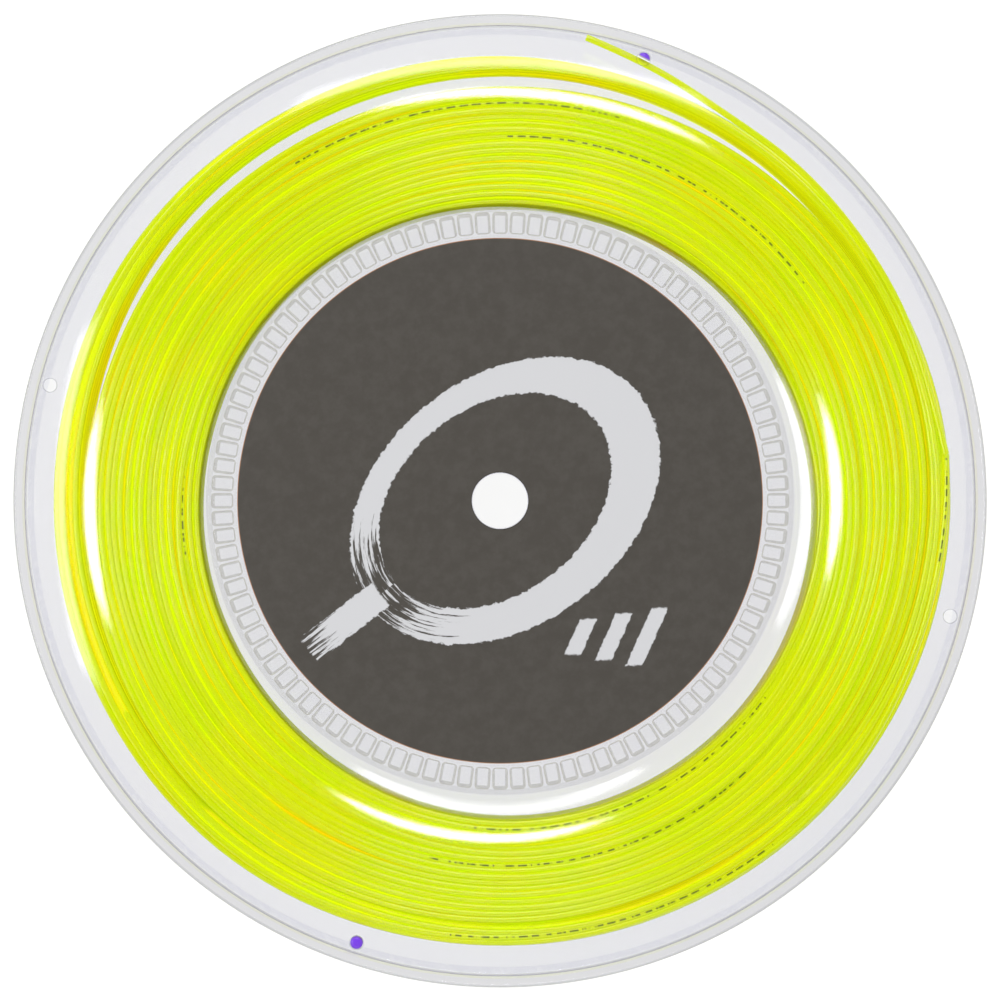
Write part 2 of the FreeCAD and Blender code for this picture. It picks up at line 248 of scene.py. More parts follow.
def cell_outline(grow=0.0):
    """The rounded oblong of one of the drum's cells, anticlockwise."""
    low, high = CELL_INNER - grow, CELL_INNER + CELL_LENGTH + grow
    half = CELL_WIDTH / 2 + grow
    radius = max(SMALLEST_CORNER, CELL_CORNER + grow)
    corners = [
        ((high - radius, half - radius), 0),
        ((low + radius, half - radius), 90),
        ((low + radius, radius - half), 180),
        ((high - radius, radius - half), 270),
    ]
    return [p for centre, start in corners for p in rounded(centre, start, CORNER_STEPS, radius)]


def prism(outline, low, high):
    """Points and faces of a closed prism over an outline."""
    count = len(outline)
    points = [(x, y, low) for x, y in outline] + [(x, y, high) for x, y in outline]
    faces = [tuple(reversed(range(count))), tuple(range(count, 2 * count))]
    for at in range(count):
        after = (at + 1) % count
        faces.append((at, after, count + after, count + at))
    return np.array(points), faces


def turned(points, angle):
    """Points turned about the reel's axis by an angle in radians."""
    c, s = math.cos(angle), math.sin(angle)
    x, y = points[:, 0] * c - points[:, 1] * s, points[:, 0] * s + points[:, 1] * c
    return np.stack([x, y, points[:, 2]], axis=1)


def flange_mesh(name, face_up):
    """The lathed flange, its outer face down or up; the front one has pegs for the drum."""
    profile = flange_profile()
    points, faces = lathe_points(profile, FLANGE_SEGMENTS)
    outline = cell_outline(-PEG_CLEARANCE)
    peg, peg_faces = prism(outline, HUB_INNER_FACE - PEG_SINK, HUB_INNER_FACE + PEG_HEIGHT)
    for at in range(PEG_COUNT if face_up else 0):
        base = len(points)
        points = np.concatenate([points, turned(peg, at * 2 * math.pi / PEG_COUNT)])
        faces += [tuple(base + corner for corner in face) for face in peg_faces]
    bends = (CROWN_INNER, CROWN_OUTER, RIM_RADIUS - EDGE_ROUND)
    kinks = [(r, z) for r, z in profile if r in bends]
    if face_up:
        points = points * (1, -1, -1) + (0, 0, REEL_WIDTH)
        kinks = [(r, REEL_WIDTH - z) for r, z in kinks]
    mesh = mesh_of(name, points, faces)
    weld(mesh)
    return mesh, kinks


def hole_cutter():
    """Points and faces of a pin that widens where it leaves the flange's outer face."""
    face = REEL_WIDTH - BEAD_RISE
    wide = HOLE_RADIUS + HOLE_CHAMFER
    rings = [
        (HOLE_RADIUS, face - CUT_BELOW),
        (HOLE_RADIUS, face - HOLE_CHAMFER),
        (wide, face),
        (wide, face + CUT_ABOVE),
    ]
    points, faces = lathe_points(rings, HOLE_SEGMENTS)
    sides = faces[:-HOLE_SEGMENTS]
    top = range(len(points) - HOLE_SEGMENTS, len(points))
    return points, sides + [tuple(reversed(range(HOLE_SEGMENTS))), tuple(top)]


def cut_rim_holes(piece):
    """Cuts the string holes, slightly chamfered, through the flange's flat band."""
    pin, pin_faces = hole_cutter()
    points, faces = np.empty((0, 3)), []
    for angle in HOLE_ANGLES:
        a = math.radians(angle)
        place = (HOLE_CIRCLE * math.cos(a), HOLE_CIRCLE * math.sin(a), 0)
        faces += [tuple(len(points) + corner for corner in face) for face in pin_faces]
        points = np.concatenate([points, pin + place])
    cutter = bpy.data.objects.new("cutter", mesh_of("cutter", points, faces))
    bpy.context.scene.collection.objects.link(cutter)
    cut = piece.modifiers.new("holes", "BOOLEAN")
    cut.operation = "DIFFERENCE"
    cut.solver = "EXACT"
    cut.object = cutter
    with bpy.context.temp_override(object=piece, active_object=piece):
        bpy.ops.object.modifier_apply(modifier=cut.name)
    bpy.data.objects.remove(cutter)


def mark_faces(mesh, test, material):
    """Gives the faces that pass a test on (distance from the axis, normal) another material."""
    mesh.materials.append(material)
    for face in mesh.polygons:
        radius = math.hypot(face.center.x, face.center.y) / MM
        if test(radius, face.normal):
            face.material_index = len(mesh.materials) - 1


def on_bead(radius, normal):
    """True on the rim's flat bead and the inner face behind it."""
    return radius > RIM_RADIUS - BEAD_WIDTH and abs(normal.z) >= BEAD_FLAT


def on_bead_slope(radius, normal):
    """True on the slope between the flat band and the bead."""
    bead_inner = RIM_RADIUS - BEAD_WIDTH
    return bead_inner < radius < bead_inner + BEAD_SLOPE and abs(normal.z) < BEAD_FLAT


def on_rim_wall(radius, normal):
    """True on the rim's outer wall and its rounds."""
    return radius > RIM_RADIUS - EDGE_ROUND and abs(normal.z) < ROUND_FLAT


def on_hole_wall(radius, normal):
    """True on the walls and chamfers of the string holes."""
    near_circle = abs(radius - HOLE_CIRCLE) < HOLE_RADIUS + HOLE_CHAMFER
    return near_circle and abs(normal.z) < HOLE_FLAT


def make_flange(name, face_up, materials):
    """A flange; its front one has string holes. Its bead, bead slope and hole walls, and on both flanges
    the rim wall, get a darker tint as painted shade.
    """
    mesh, kinks = flange_mesh(name + "_shell", face_up)
    piece = link(name + "_shell", mesh, materials["clear"])
    if face_up:
        cut_rim_holes(piece)
    mesh = piece.data
    mesh.shade_smooth()
    sharpen(mesh, kinks)
    if face_up:
        mark_faces(mesh, on_bead, materials["bead"])
        mark_faces(mesh, on_bead_slope, materials["slope"])
        mark_faces(mesh, on_hole_wall, materials["wall"])
    mark_faces(mesh, on_rim_wall, materials["wall"])
    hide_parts(name)
    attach(piece, "reel")


# ---------------------------------------------------------------- drum

# How far the cells' mouths widen, and how far their walls draw in towards the floor.
CELL_BEVEL, CELL_DRAFT = 0.18, 0.26
# Straight steps along the inner and the outer arc of one cell's share of the drum.
SECTOR_STEPS = 3


def drum_sector():
    """Points and faces of one cell's share of the drum, its bevelled mouth and flat floor included."""
    half = math.pi / CELL_COUNT
    low, high = HUB_INNER_FACE + DRUM_END_GAP, REEL_WIDTH - HUB_INNER_FACE - DRUM_END_GAP
    steps = np.linspace(-half, half, SECTOR_STEPS + 1)
    inner = [(DRUM_INNER * math.cos(t), DRUM_INNER * math.sin(t)) for t in steps]
    outer = [(DRUM_OUTER * math.cos(t), DRUM_OUTER * math.sin(t)) for t in steps]
    wedge = inner[::-1] + outer
    mouth, throat = cell_outline(CELL_BEVEL), cell_outline()
    flat = [[Vector((x, y, 0)) for x, y in loop] for loop in (wedge, mouth)]
    rim, cell = len(wedge), len(mouth)
    points = [(x, y, high) for x, y in wedge + mouth]
    points += [(x, y, high - CELL_BEVEL) for x, y in throat]
    points += [(x, y, high - CELL_DEPTH) for x, y in cell_outline(-CELL_DRAFT)]
    below = len(points)
    points += [(x, y, low) for x, y in wedge]
    faces = list(tessellate_polygon(flat))
    for at in range(cell):
        after = (at + 1) % cell
        for level in (rim, rim + cell):
            faces.append((level + at, level + after, level + cell + after, level + cell + at))
    faces.append(tuple(rim + 2 * cell + at for at in range(cell)))
    faces.append(tuple(below + at for at in range(rim)))
    # Walls on the two arcs only: the wedge's straight sides are its neighbours' too, and stay open.
    for start in (0, SECTOR_STEPS + 1):
        for at in range(start, start + SECTOR_STEPS):
            faces.append((at, at + 1, below + at + 1, below + at))
    return np.array(points), faces


def in_cell_wall(radius, normal):
    """True on the cells' bevelled mouths and on their walls."""
    inside = DRUM_INNER + CELL_BEVEL < radius < DRUM_OUTER - CELL_BEVEL
    return inside and abs(normal.z) < CELL_FLAT


def make_drum(clear, edge):
    """The ring between the flanges, with a row of cells sunk into its front end."""
    sector, sector_faces = drum_sector()
    points, faces = [], []
    for at in range(CELL_COUNT):
        faces += [tuple(at * len(sector) + corner for corner in face) for face in sector_faces]
        points.append(turned(sector, at * 2 * math.pi / CELL_COUNT))
    mesh = mesh_of("drum", np.concatenate(points), faces)
    weld(mesh)
    sharpen(mesh)
    piece = link("drum_shell", mesh, clear)
    # The cells' mouths and walls get a darker, yellowish tint: painted shade for their outlines.
    mark_faces(mesh, in_cell_wall, edge)
    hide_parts("hub_drum")
    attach(piece, "reel")


# ---------------------------------------------------------------- string

STRING_RADIUS = STRING_DIAMETER / 2
STEPS_PER_TURN = 144
# The most steps of string in one piece, and the flat sides round it.
MOST_STEPS = 12000
SIDES = 8
# Millimetres from turn to turn along the drum, in the main pack and in the loose turns.
TURN_PITCH, LOOSE_PITCH = 1.22, 2.2
# The least room between the string and the flanges, and between it and the drum.
END_CLEARANCE, DRUM_CLEARANCE = 0.28, 0.05
# Degrees round the reel in which the string climbs from one layer to the next.
CLIMB = 55
# Outlines between which each pack of turns lies. Each is a mean radius, how far it leans towards +x
# and +y, and how much longer it is along x and along the diagonal.
MAIN_INNER, MAIN_OUTER, MAIN_LAYERS = (55.6, 1.3, -1.8, -0.1, -0.25), (75.7, 0.9, -0.5, 0.2, 0.65), 17
LOOSE_INNER, LOOSE_OUTER, LOOSE_LAYERS = (76.8, 0.7, 0.9, -0.35, 0.3), (80.6, 0.1, 0.1, 0, 0), 4
# How much further than its neighbours from the flanges a layer's end turn may lie.
LAYER_RECESS = 0.8
# How open the turns' sides are towards the drum and the gap between the packs.
GAP_OPENNESS = 0.42
# Turns from each flange that count as lying next to it.
END_TURNS = 1.15
# Degrees round the reel where the main pack's last turn passes to the loose ones, and where
# the last loose turn ends.
PASS_ANGLE, TAIL_ANGLE = 285.0, 6.0
# Degrees over which the last turn is drawn on to the free end.
JOIN_ANGLE = 50
# The fewest and most turns that a layer has beyond what its width holds.
FEWER_TURNS, MORE_TURNS = -0.4, 0.1
# How turns stray, in millimetres: waves round the reel that a layer's turns share, as (waves in a
# turn, size), and slower and quicker waves along the string, in waves a turn.
LAYER_WAVES = ((1, 0.10), (2, 0.16), (3, 0.14), (5, 0.07), (8, 0.035))
LAYER_DRIFT = 0.55
LOOSE_STRAY = 0.6
TURN_RATES = (0.137, 0.311, 0.733, 1.371, 2.62)
TURN_SPREAD = 2.2
TURN_STRAY, LOOSE_TURN_STRAY, END_STRAY = 0.07, 0.10, 0.05
# How far the end turns weave towards and away from the flanges, and how often.
WEAVE, WEAVE_RATE, WEAVE_STEP = 0.09, 2.31, 3.1
WHOLE_TURN = 6.28
PLAN_SEED, PATH_SEED = 7, 23


def layer_outlines():
    """The outline that each layer's turns follow, from the drum outwards."""
    outlines = []
    packs = ((MAIN_INNER, MAIN_OUTER, MAIN_LAYERS), (LOOSE_INNER, LOOSE_OUTER, LOOSE_LAYERS))
    for inner, outer, count in packs:
        inset = np.array((STRING_RADIUS, 0, 0, 0, 0))
        inner, outer = inner + inset, outer - inset
        for layer in range(count):
            outlines.append(inner + (outer - inner) * layer / (count - 1))
    return np.array(outlines)


def outline_radius(outlines, layers, angles):
    """Distance from the axis of the string's centre at each angle."""
    terms = [blend_layers(values, layers) for values in outlines.T]
    radius, lean_x, lean_y, oval, diagonal = terms
    lean = lean_x * np.cos(angles) + lean_y * np.sin(angles)
    return radius + lean + oval * np.cos(2 * angles) + diagonal * np.sin(2 * angles)


def eased(share):
    """A share from 0 to 1 that starts and ends gently."""
    return share * share * (3 - 2 * share)


def layer_plan(outlines):
    """For each step along the string: the angle, the layer as a fraction, and how far across."""
    angles, layers, across = [], [], []
    at, upwards = 0.0, True
    step = 2 * math.pi / STEPS_PER_TURN
    rng = np.random.default_rng(PLAN_SEED)
    for layer, radius in enumerate(outlines[:, 0]):
        width = REEL_WIDTH - 2 * (side_height(radius) + FLANGE_THICKNESS + END_CLEARANCE)
        pitch = TURN_PITCH if layer < MAIN_LAYERS else LOOSE_PITCH
        turns = (width - STRING_DIAMETER) / pitch + rng.uniform(FEWER_TURNS, MORE_TURNS)
        end = at + 2 * math.pi * turns
        wanted = {MAIN_LAYERS - 1: PASS_ANGLE, len(outlines) - 1: TAIL_ANGLE}.get(layer)
        if wanted is not None:
            end -= (end - math.radians(wanted)) % (2 * math.pi)
        count = max(2, round((end - at) / step))
        run = np.linspace(0, 1, count, endpoint=False)
        angles.append(at + (end - at) * run)
        layers.append(np.full(count, float(layer)))
        across.append(run if upwards else 1 - run)
        at = end
        if layer < len(outlines) - 1:
            count = round(math.radians(CLIMB) / step)
            run = np.linspace(0, 1, count, endpoint=False)
            angles.append(at + math.radians(CLIMB) * run)
            layers.append(layer + eased(run))
            across.append(np.full(count, 1.0 if upwards else 0.0))
            at += math.radians(CLIMB)
            upwards = not upwards
    return np.concatenate(angles), np.concatenate(layers), np.concatenate(across)


def blend_layers(values, layers):
    """Values given per layer, read at fractional layers."""
    low = np.clip(np.floor(layers).astype(int), 0, len(values) - 1)
    high = np.clip(low + 1, 0, len(values) - 1)
    share = layers - low
    return values[low] * (1 - share) + values[high] * share


def layer_waves(angles, layers, count, rng):
    """How far the turns of each layer stray from its circle, in millimetres."""
    stray = np.zeros(len(angles))
    for wave, size in LAYER_WAVES:
        phase = np.cumsum(rng.normal(0, LAYER_DRIFT, count)) + rng.uniform(0, WHOLE_TURN)
        height = size * (0.6 + 0.8 * rng.random(count))
        cosine = blend_layers(height * np.cos(phase), layers)
        sine = blend_layers(height * np.sin(phase), layers)
        stray += cosine * np.cos(wave * angles) + sine * np.sin(wave * angles)
    return stray


def turn_waves(angles, rng, size):
    """Small strayings that differ from each turn to the next."""
    stray = np.zeros(len(angles))
    for rate in TURN_RATES:
        stray += size * np.sin(rate * angles + rng.uniform(0, WHOLE_TURN)) / TURN_SPREAD
    return stray


def string_path():
    """The wound string's centreline, and at each point its layer and how far across it lies."""
    rng = np.random.default_rng(PATH_SEED)
    outlines = layer_outlines()
    angles, layers, across = layer_plan(outlines)
    loose = np.clip(layers - (MAIN_LAYERS - 1), 0, 1)
    radius = outline_radius(outlines, layers, angles)
    shared = layer_waves(angles, layers, len(outlines), rng)
    radius = radius + shared * (1 + LOOSE_STRAY * loose)
    radius = radius + turn_waves(angles, rng, TURN_STRAY + LOOSE_TURN_STRAY * loose)
    least = DRUM_OUTER + STRING_RADIUS + DRUM_CLEARANCE
    radius = np.clip(radius, least, CROWN_OUTER - STRING_RADIUS)
    end = side_height(radius) + FLANGE_THICKNESS + END_CLEARANCE + STRING_RADIUS
    recess = LAYER_RECESS * blend_layers(rng.random(len(outlines)), layers)
    end = end + recess + WEAVE * (1 + np.sin(WEAVE_RATE * angles + WEAVE_STEP * layers))
    height = end + (REEL_WIDTH - 2 * end) * across + turn_waves(angles, rng, END_STRAY)
    path = np.column_stack([radius * np.cos(angles), radius * np.sin(angles), height])
    return join_tail(path, angles), layers, across


def join_tail(path, angles):
    """Draws the last part of the outermost turn gently on to the start of the free end."""
    left = (angles[-1] - angles) / math.radians(JOIN_ANGLE)
    pull = eased(np.clip(1 - left, 0, 1))
    shift = np.array(TAIL_ROUTE[0]) - path[-1]
    return path + pull[:, None] * shift


def openness(layers, across, normals):
    """How far each point of the string's surface faces open space, from -1 to 1."""
    last = MAIN_LAYERS + LOOSE_LAYERS - 1
    near_end = END_TURNS * TURN_PITCH / (REEL_WIDTH - 2 * HUB_INNER_FACE)
    radial, axial = normals[..., 0], normals[..., 1]
    ways = [
        (across > 1 - near_end, axial),
        (across < near_end, -axial),
        (layers > last - 0.5, radial),
        (abs(layers - (MAIN_LAYERS - 1)) < 0.5, GAP_OPENNESS * radial),
        ((layers < 0.5) | (abs(layers - MAIN_LAYERS) < 0.5), -GAP_OPENNESS * radial),
    ]
    found = np.full(normals.shape[:2], -1.0)
    for here, facing in ways:
        found = np.where(here[:, None], np.maximum(found, facing), found)
    return found


def tube_frames(path):
    """Unit vectors outward from the reel's axis and upward, square to the string."""
    tangent = np.gradient(path, axis=0)
    tangent /= np.linalg.norm(tangent, axis=1)[:, None]
    outward = np.cross(tangent, (0, 0, 1.0))
    outward /= np.linalg.norm(outward, axis=1)[:, None]
    return outward, np.cross(outward, tangent)


def tube_faces(count):
    """Quads along a tube of that many rings, and the flat caps at its ends."""
    ring = np.arange(count - 1)[:, None] * SIDES
    side = np.arange(SIDES)[None, :]
    after = (side + 1) % SIDES
    quads = np.stack([ring + side, ring + SIDES + side, ring + SIDES + after, ring + after], axis=2)
    caps = [tuple(range(SIDES)), tuple(reversed(range((count - 1) * SIDES, count * SIDES)))]
    return quads.reshape(-1, 4), caps


def add_floats(mesh, name, values):
    """Puts a number on each point of a mesh, for its material to read."""
    mesh.attributes.new(name, "FLOAT", "POINT").data.foreach_set("value", values.ravel())


def string_mesh(name, path, outward, upward, marks):
    """A tube along part of the string, with its marks as attributes on the points."""
    turn = np.arange(SIDES) * 2 * math.pi / SIDES
    sideways = outward[:, None, :] * np.cos(turn)[None, :, None]
    rising = upward[:, None, :] * np.sin(turn)[None, :, None]
    points = path[:, None, :] + STRING_RADIUS * (sideways + rising)
    quads, caps = tube_faces(len(path))
    mesh = mesh_of(name, points.reshape(-1, 3), quads.tolist() + caps)
    for label, values in marks.items():
        add_floats(mesh, label, values)
    return mesh


def surface_marks(path, layers, across):
    """What the string's material reads at each point: open space, length so far, facing up."""
    steps = np.linalg.norm(np.diff(path, axis=0), axis=1)
    along = np.concatenate([[0], np.cumsum(steps)])
    turn = np.arange(SIDES) * 2 * math.pi / SIDES
    facing = np.stack([np.cos(turn), np.sin(turn)], axis=1)[None].repeat(len(path), axis=0)
    return {
        "open": openness(layers, across, facing),
        "along": np.repeat(along[:, None], SIDES, axis=1),
        "upside": np.repeat(np.sin(turn)[None], len(path), axis=0),
    }


def make_winding(material):
    """Every turn of the string from the drum out to the free end, cut into a few long pieces."""
    path, layers, across = string_path()
    outward, upward = tube_frames(path)
    marks = surface_marks(path, layers, across)
    first_loose = int(np.argmax(layers > MAIN_LAYERS - 0.5))
    packs = (
        ("main_turns", 0, first_loose, "string_winding"),
        ("outer_turns", first_loose, len(path) - 1, "loose_turns"),
    )
    for stem, first, last, node in packs:
        count = math.ceil((last - first) / MOST_STEPS)
        cuts = np.linspace(first, last, count + 1).astype(int)
        for part, (start, stop) in enumerate(zip(cuts, cuts[1:]), start=1):
            here = slice(start, stop + 1)
            name = "%s_%d" % (stem, part)
            part_marks = {label: values[here] for label, values in marks.items()}
            mesh = string_mesh(name, path[here], outward[here], upward[here], part_marks)
            piece = link(name, mesh, material)
            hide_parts(node)
            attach(piece, "reel")


def make_tail(material):
    """The string's free end, a smooth curve along its route."""
    curve = bpy.data.curves.new("string_end", "CURVE")
    curve.dimensions = "3D"
    curve.resolution_u = 16
    curve.bevel_depth = STRING_RADIUS * MM
    curve.bevel_resolution = 5
    curve.use_fill_caps = True
    spline = curve.splines.new("NURBS")
    spline.points.add(len(TAIL_ROUTE) - 1)
    for point, (x, y, z) in zip(spline.points, TAIL_ROUTE):
        point.co = (x * MM, y * MM, z * MM, 1)
    spline.order_u = 3
    spline.use_endpoint_u = True
    curve.materials.append(material)
    piece = bpy.data.objects.new("string_end", curve)
    bpy.context.scene.collection.objects.link(piece)
    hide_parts("string_tail")
    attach(piece, "reel")


# ---------------------------------------------------------------- labels

LABEL_SEGMENTS = 256
PAPER_SOFTNESS = 0.03


def make_label(name, node, material):
    """A thin disc of printed paper with a slightly softened edge."""
    low, high = (corner[2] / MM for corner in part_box(node))
    profile = [
        (LABEL_HOLE, low),
        (LABEL_RADIUS, low),
        (LABEL_RADIUS, high - PAPER_SOFTNESS),
        (LABEL_RADIUS - PAPER_SOFTNESS, high),
        (LABEL_HOLE + PAPER_SOFTNESS, high),
        (LABEL_HOLE, high - PAPER_SOFTNESS),
    ]
    points, faces = lathe_points(profile, LABEL_SEGMENTS)
    mesh = mesh_of(name, points, faces)
    weld(mesh)
    sharpen(mesh)
    piece = link(name, mesh, material)
    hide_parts(node)
    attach(piece, "reel")


# ---------------------------------------------------------------- materials


class Shader:
    """A material's node tree, with short ways to add and join nodes."""

    def __init__(self, name):
        self.material = bpy.data.materials.new(name)
        self.material.use_nodes = True
        self.nodes = self.material.node_tree.nodes
        self.links = self.material.node_tree.links
        self.nodes.clear()

    def node(self, kind, **settings):
        """A new node of a kind, with its settings."""
        made = self.nodes.new(kind)
        for name, value in settings.items():
            setattr(made, name, value)
        return made

    def feed(self, socket, value):
        """Sets a socket to a plain value, or joins it to another node's output."""
        if isinstance(value, bpy.types.NodeSocket):
            self.links.new(value, socket)
        else:
            socket.default_value = value

    def math(self, operation, *values):
        """The result of a calculation on numbers or outputs."""
        made = self.node("ShaderNodeMath", operation=operation)
        for socket, value in zip(made.inputs, values):
            self.feed(socket, value)
        return made.outputs[0]

    def ramp(self, value, low, high, to_low=0.0, to_high=1.0):
        """Maps a value smoothly from one range to another."""
        made = self.node("ShaderNodeMapRange", interpolation_type="SMOOTHSTEP")
        for socket, number in zip(made.inputs, (value, low, high, to_low, to_high)):
            self.feed(socket, number)
        return made.outputs[0]

    def attribute(self, name):
        """A number kept on the mesh's points."""
        return self.node("ShaderNodeAttribute", attribute_name=name).outputs["Fac"]

    def place(self):
        """The point's place in metres in the reel's own frame."""
        return self.node("ShaderNodeTexCoord").outputs["Object"]

    def noise(self, vector, scale, detail=2.0, rough=0.5):
        """Soft noise, mostly between 0.3 and 0.7."""
        made = self.node("ShaderNodeTexNoise")
        self.feed(made.inputs["Vector"], vector)
        made.inputs["Scale"].default_value = scale
        made.inputs["Detail"].default_value = detail
        made.inputs["Roughness"].default_value = rough
        return made.outputs[0]

    def mix(self, share, first, second):
        """A colour between two, by the share of the second."""
        made = self.node("ShaderNodeMix", data_type="RGBA")
        self.feed(made.inputs[0], share)
        self.feed(made.inputs[6], first)
        self.feed(made.inputs[7], second)
        return made.outputs[2]

    def bump(self, height, strength, distance):
        """The surface's normal, tilted by small heights."""
        made = self.node("ShaderNodeBump")
        made.inputs["Strength"].default_value = strength
        made.inputs["Distance"].default_value = distance
        self.feed(made.inputs["Height"], height)
        return made.outputs[0]

    def vector(self, x, y, z):
        """Three numbers as one vector."""
        made = self.node("ShaderNodeCombineXYZ")
        for socket, value in zip(made.inputs, (x, y, z)):
            self.feed(socket, value)
        return made.outputs[0]

    def split(self, vector):
        """A vector's three numbers."""
        made = self.node("ShaderNodeSeparateXYZ")
        self.feed(made.inputs[0], vector)
        return made.outputs

    def length(self, x, y):
        """The length of a flat vector."""
        squares = [self.math("MULTIPLY", number, number) for number in (x, y)]
        return self.math("SQRT", self.math("ADD", *squares))

    def surface(self, shader):
        """Ends the material in a shader, and returns it."""
        out = self.node("ShaderNodeOutputMaterial")
        self.links.new(shader, out.inputs["Surface"])
        return self.material


# Share of light that a clear wall's face mirrors when seen square on, and what grazing views add.
NORMAL_GLOSS, GRAZING_GLOSS = 0.042, 0.6
GRAZING_POWER = 5.0
# Roughness of the polished walls, and of the faint scuffs on them.
SMOOTH, SCUFFED = 0.07, 0.10
# What share of light each kind of face lets through. The plain faces carry the plastic's own faint tint;
# the bead, its slope, the rim and hole walls and the cells' edges let less through, a painted shade for
# the dark outlines that refraction gives there.
CLEAR_TINT = (0.972, 0.971, 0.987, 1)
BEAD_PAINTED_SHADE = (0.868, 0.866, 0.885, 1)
SLOPE_PAINTED_SHADE = (0.84, 0.835, 0.80, 1)
WALL_PAINTED_SHADE = (0.76, 0.76, 0.785, 1)
DRUM_TINT, DRUM_GLOSS = (0.998, 0.998, 0.998, 1), 0.006
CELL_EDGE_PAINTED_SHADE, CELL_EDGE_GLOSS = (0.72, 0.71, 0.66, 1), 0.01


def clear_material(name, tint, gloss_share=NORMAL_GLOSS):
    """Clear moulded plastic: see-through, with a gloss that grows towards grazing views."""
    s = Shader(name)
    place = s.place()
    see = s.node("ShaderNodeBsdfTransparent")
    see.inputs["Color"].default_value = tint
    gloss = s.node("ShaderNodeBsdfGlossy", distribution="BECKMANN")
    scuffs = s.ramp(s.noise(place, 260, 6, 0.7), 0.45, 0.75, SMOOTH, SCUFFED)
    s.feed(gloss.inputs["Roughness"], scuffs)
    ripple = s.noise(place, 45, 2)
    s.feed(gloss.inputs["Normal"], s.bump(ripple, 0.035, 0.00025))
    facing = s.node("ShaderNodeLayerWeight")
    facing.inputs["Blend"].default_value = 0.5
    grazing = s.math("POWER", facing.outputs["Facing"], GRAZING_POWER)
    share = s.math("ADD", s.math("MULTIPLY", grazing, GRAZING_GLOSS), gloss_share)
    mix = s.node("ShaderNodeMixShader")
    s.feed(mix.inputs[0], share)
    s.feed(mix.inputs[1], see.outputs[0])
    s.feed(mix.inputs[2], gloss.outputs[0])
    return s.surface(mix.outputs[0])


STRING_COLOUR = (0.64, 0.77, 0.0, 1)
STRING_WARM = (0.70, 0.76, 0.0, 1)
# Painted light, given as emission that does not follow the lamps: on turns in the open, barely any on the
# pack's outer side, which the room lights more than the top, and in the shaded gaps between turns, which
# it brightens and in places warms to orange.
OPEN_PAINTED_LIGHT = (0.13, 0.165, 0.0, 1)
SIDE_PAINTED_LIGHT = (0.0, 0.01, 0.0, 1)
GAP_PAINTED_LIGHT = (0.34, 0.37, 0.0, 1)
WARM_GAP_PAINTED_LIGHT = (0.42, 0.25, 0.0, 1)
PRINT_COLOUR = (0.03, 0.04, 0.01, 1)
STREAKS_PER_METRE = 600.0


def ring_streaks(s, place):
    """A tone in long streaks round the reel, a few turns of string wide."""
    x, y, _ = s.split(place)
    radius = s.length(x, y)
    across = s.math("MULTIPLY", radius, STREAKS_PER_METRE)
    around = s.vector(s.math("DIVIDE", x, radius), s.math("DIVIDE", y, radius), across)
    return s.noise(around, 1.3, 3)


# Millimetres along the string from one group of printed dashes to the next, a group's length, and
# where the first one starts.
PRINT_SPACING, PRINT_LENGTH, FIRST_PRINT = 1180.0, 62.0, 720.0
DASH_SPACING, DASH_LENGTH = 2.3, 1.6


def print_mask(s):
    """Up to 1 on the small uneven dashes printed along the string's upper side, in groups."""
    along = s.attribute("along")
    since_print = s.math("ADD", along, PRINT_SPACING - FIRST_PRINT)
    in_group = s.math("LESS_THAN", s.math("MODULO", since_print, PRINT_SPACING), PRINT_LENGTH)
    dash = s.math("LESS_THAN", s.math("MODULO", along, DASH_SPACING), DASH_LENGTH)
    worn = s.noise(s.vector(s.math("MULTIPLY", along, 0.5), 0.0, 0.0), 1.0, 2)
    uneven = s.ramp(worn, 0.42, 0.52)
    upper = s.ramp(s.attribute("upside"), 0.82, 0.97)
    return s.math("MULTIPLY", s.math("MULTIPLY", in_group, dash), s.math("MULTIPLY", uneven, upper))


def string_material(wound):
    """Fluorescent yellow monofilament with faint print; its emission is painted light, on open turns and
    lightening and warming the shaded gaps between its turns.
    """
    s = Shader("string_wound" if wound else "string_free")
    body = s.node("ShaderNodeBsdfPrincipled")
    place = s.place()
    tone = s.noise(place, 90, 3)
    colour = s.mix(s.ramp(tone, 0.35, 0.7), STRING_COLOUR, STRING_WARM)
    body.inputs["Emission Color"].default_value = OPEN_PAINTED_LIGHT
    if wound:
        # Painted light in the shaded gaps, set by how open each point is, warmer in long streaks.
        painted_gap_light = s.mix(s.ramp(ring_streaks(s, place), 0.47, 0.60), GAP_PAINTED_LIGHT, WARM_GAP_PAINTED_LIGHT)
        shown = s.ramp(s.attribute("open"), 0.0, 0.75)
        end_facing = s.ramp(s.math("ABSOLUTE", s.attribute("upside")), 0.3, 0.8)
        painted_open_light = s.mix(end_facing, SIDE_PAINTED_LIGHT, OPEN_PAINTED_LIGHT)
        s.feed(body.inputs["Emission Color"], s.mix(shown, painted_gap_light, painted_open_light))
        colour = s.mix(print_mask(s), colour, PRINT_COLOUR)
    s.feed(body.inputs["Base Color"], colour)
    s.feed(body.inputs["Roughness"], s.ramp(s.noise(place, 400, 3), 0.3, 0.7, 0.10, 0.17))
    body.inputs["IOR"].default_value = 1.55
    body.inputs["Emission Strength"].default_value = 1.0
    return s.surface(body.outputs[0])


PURPLE_DARK = (0.17, 0.045, 0.70, 1)
PURPLE_PALE = (0.21, 0.06, 0.80, 1)


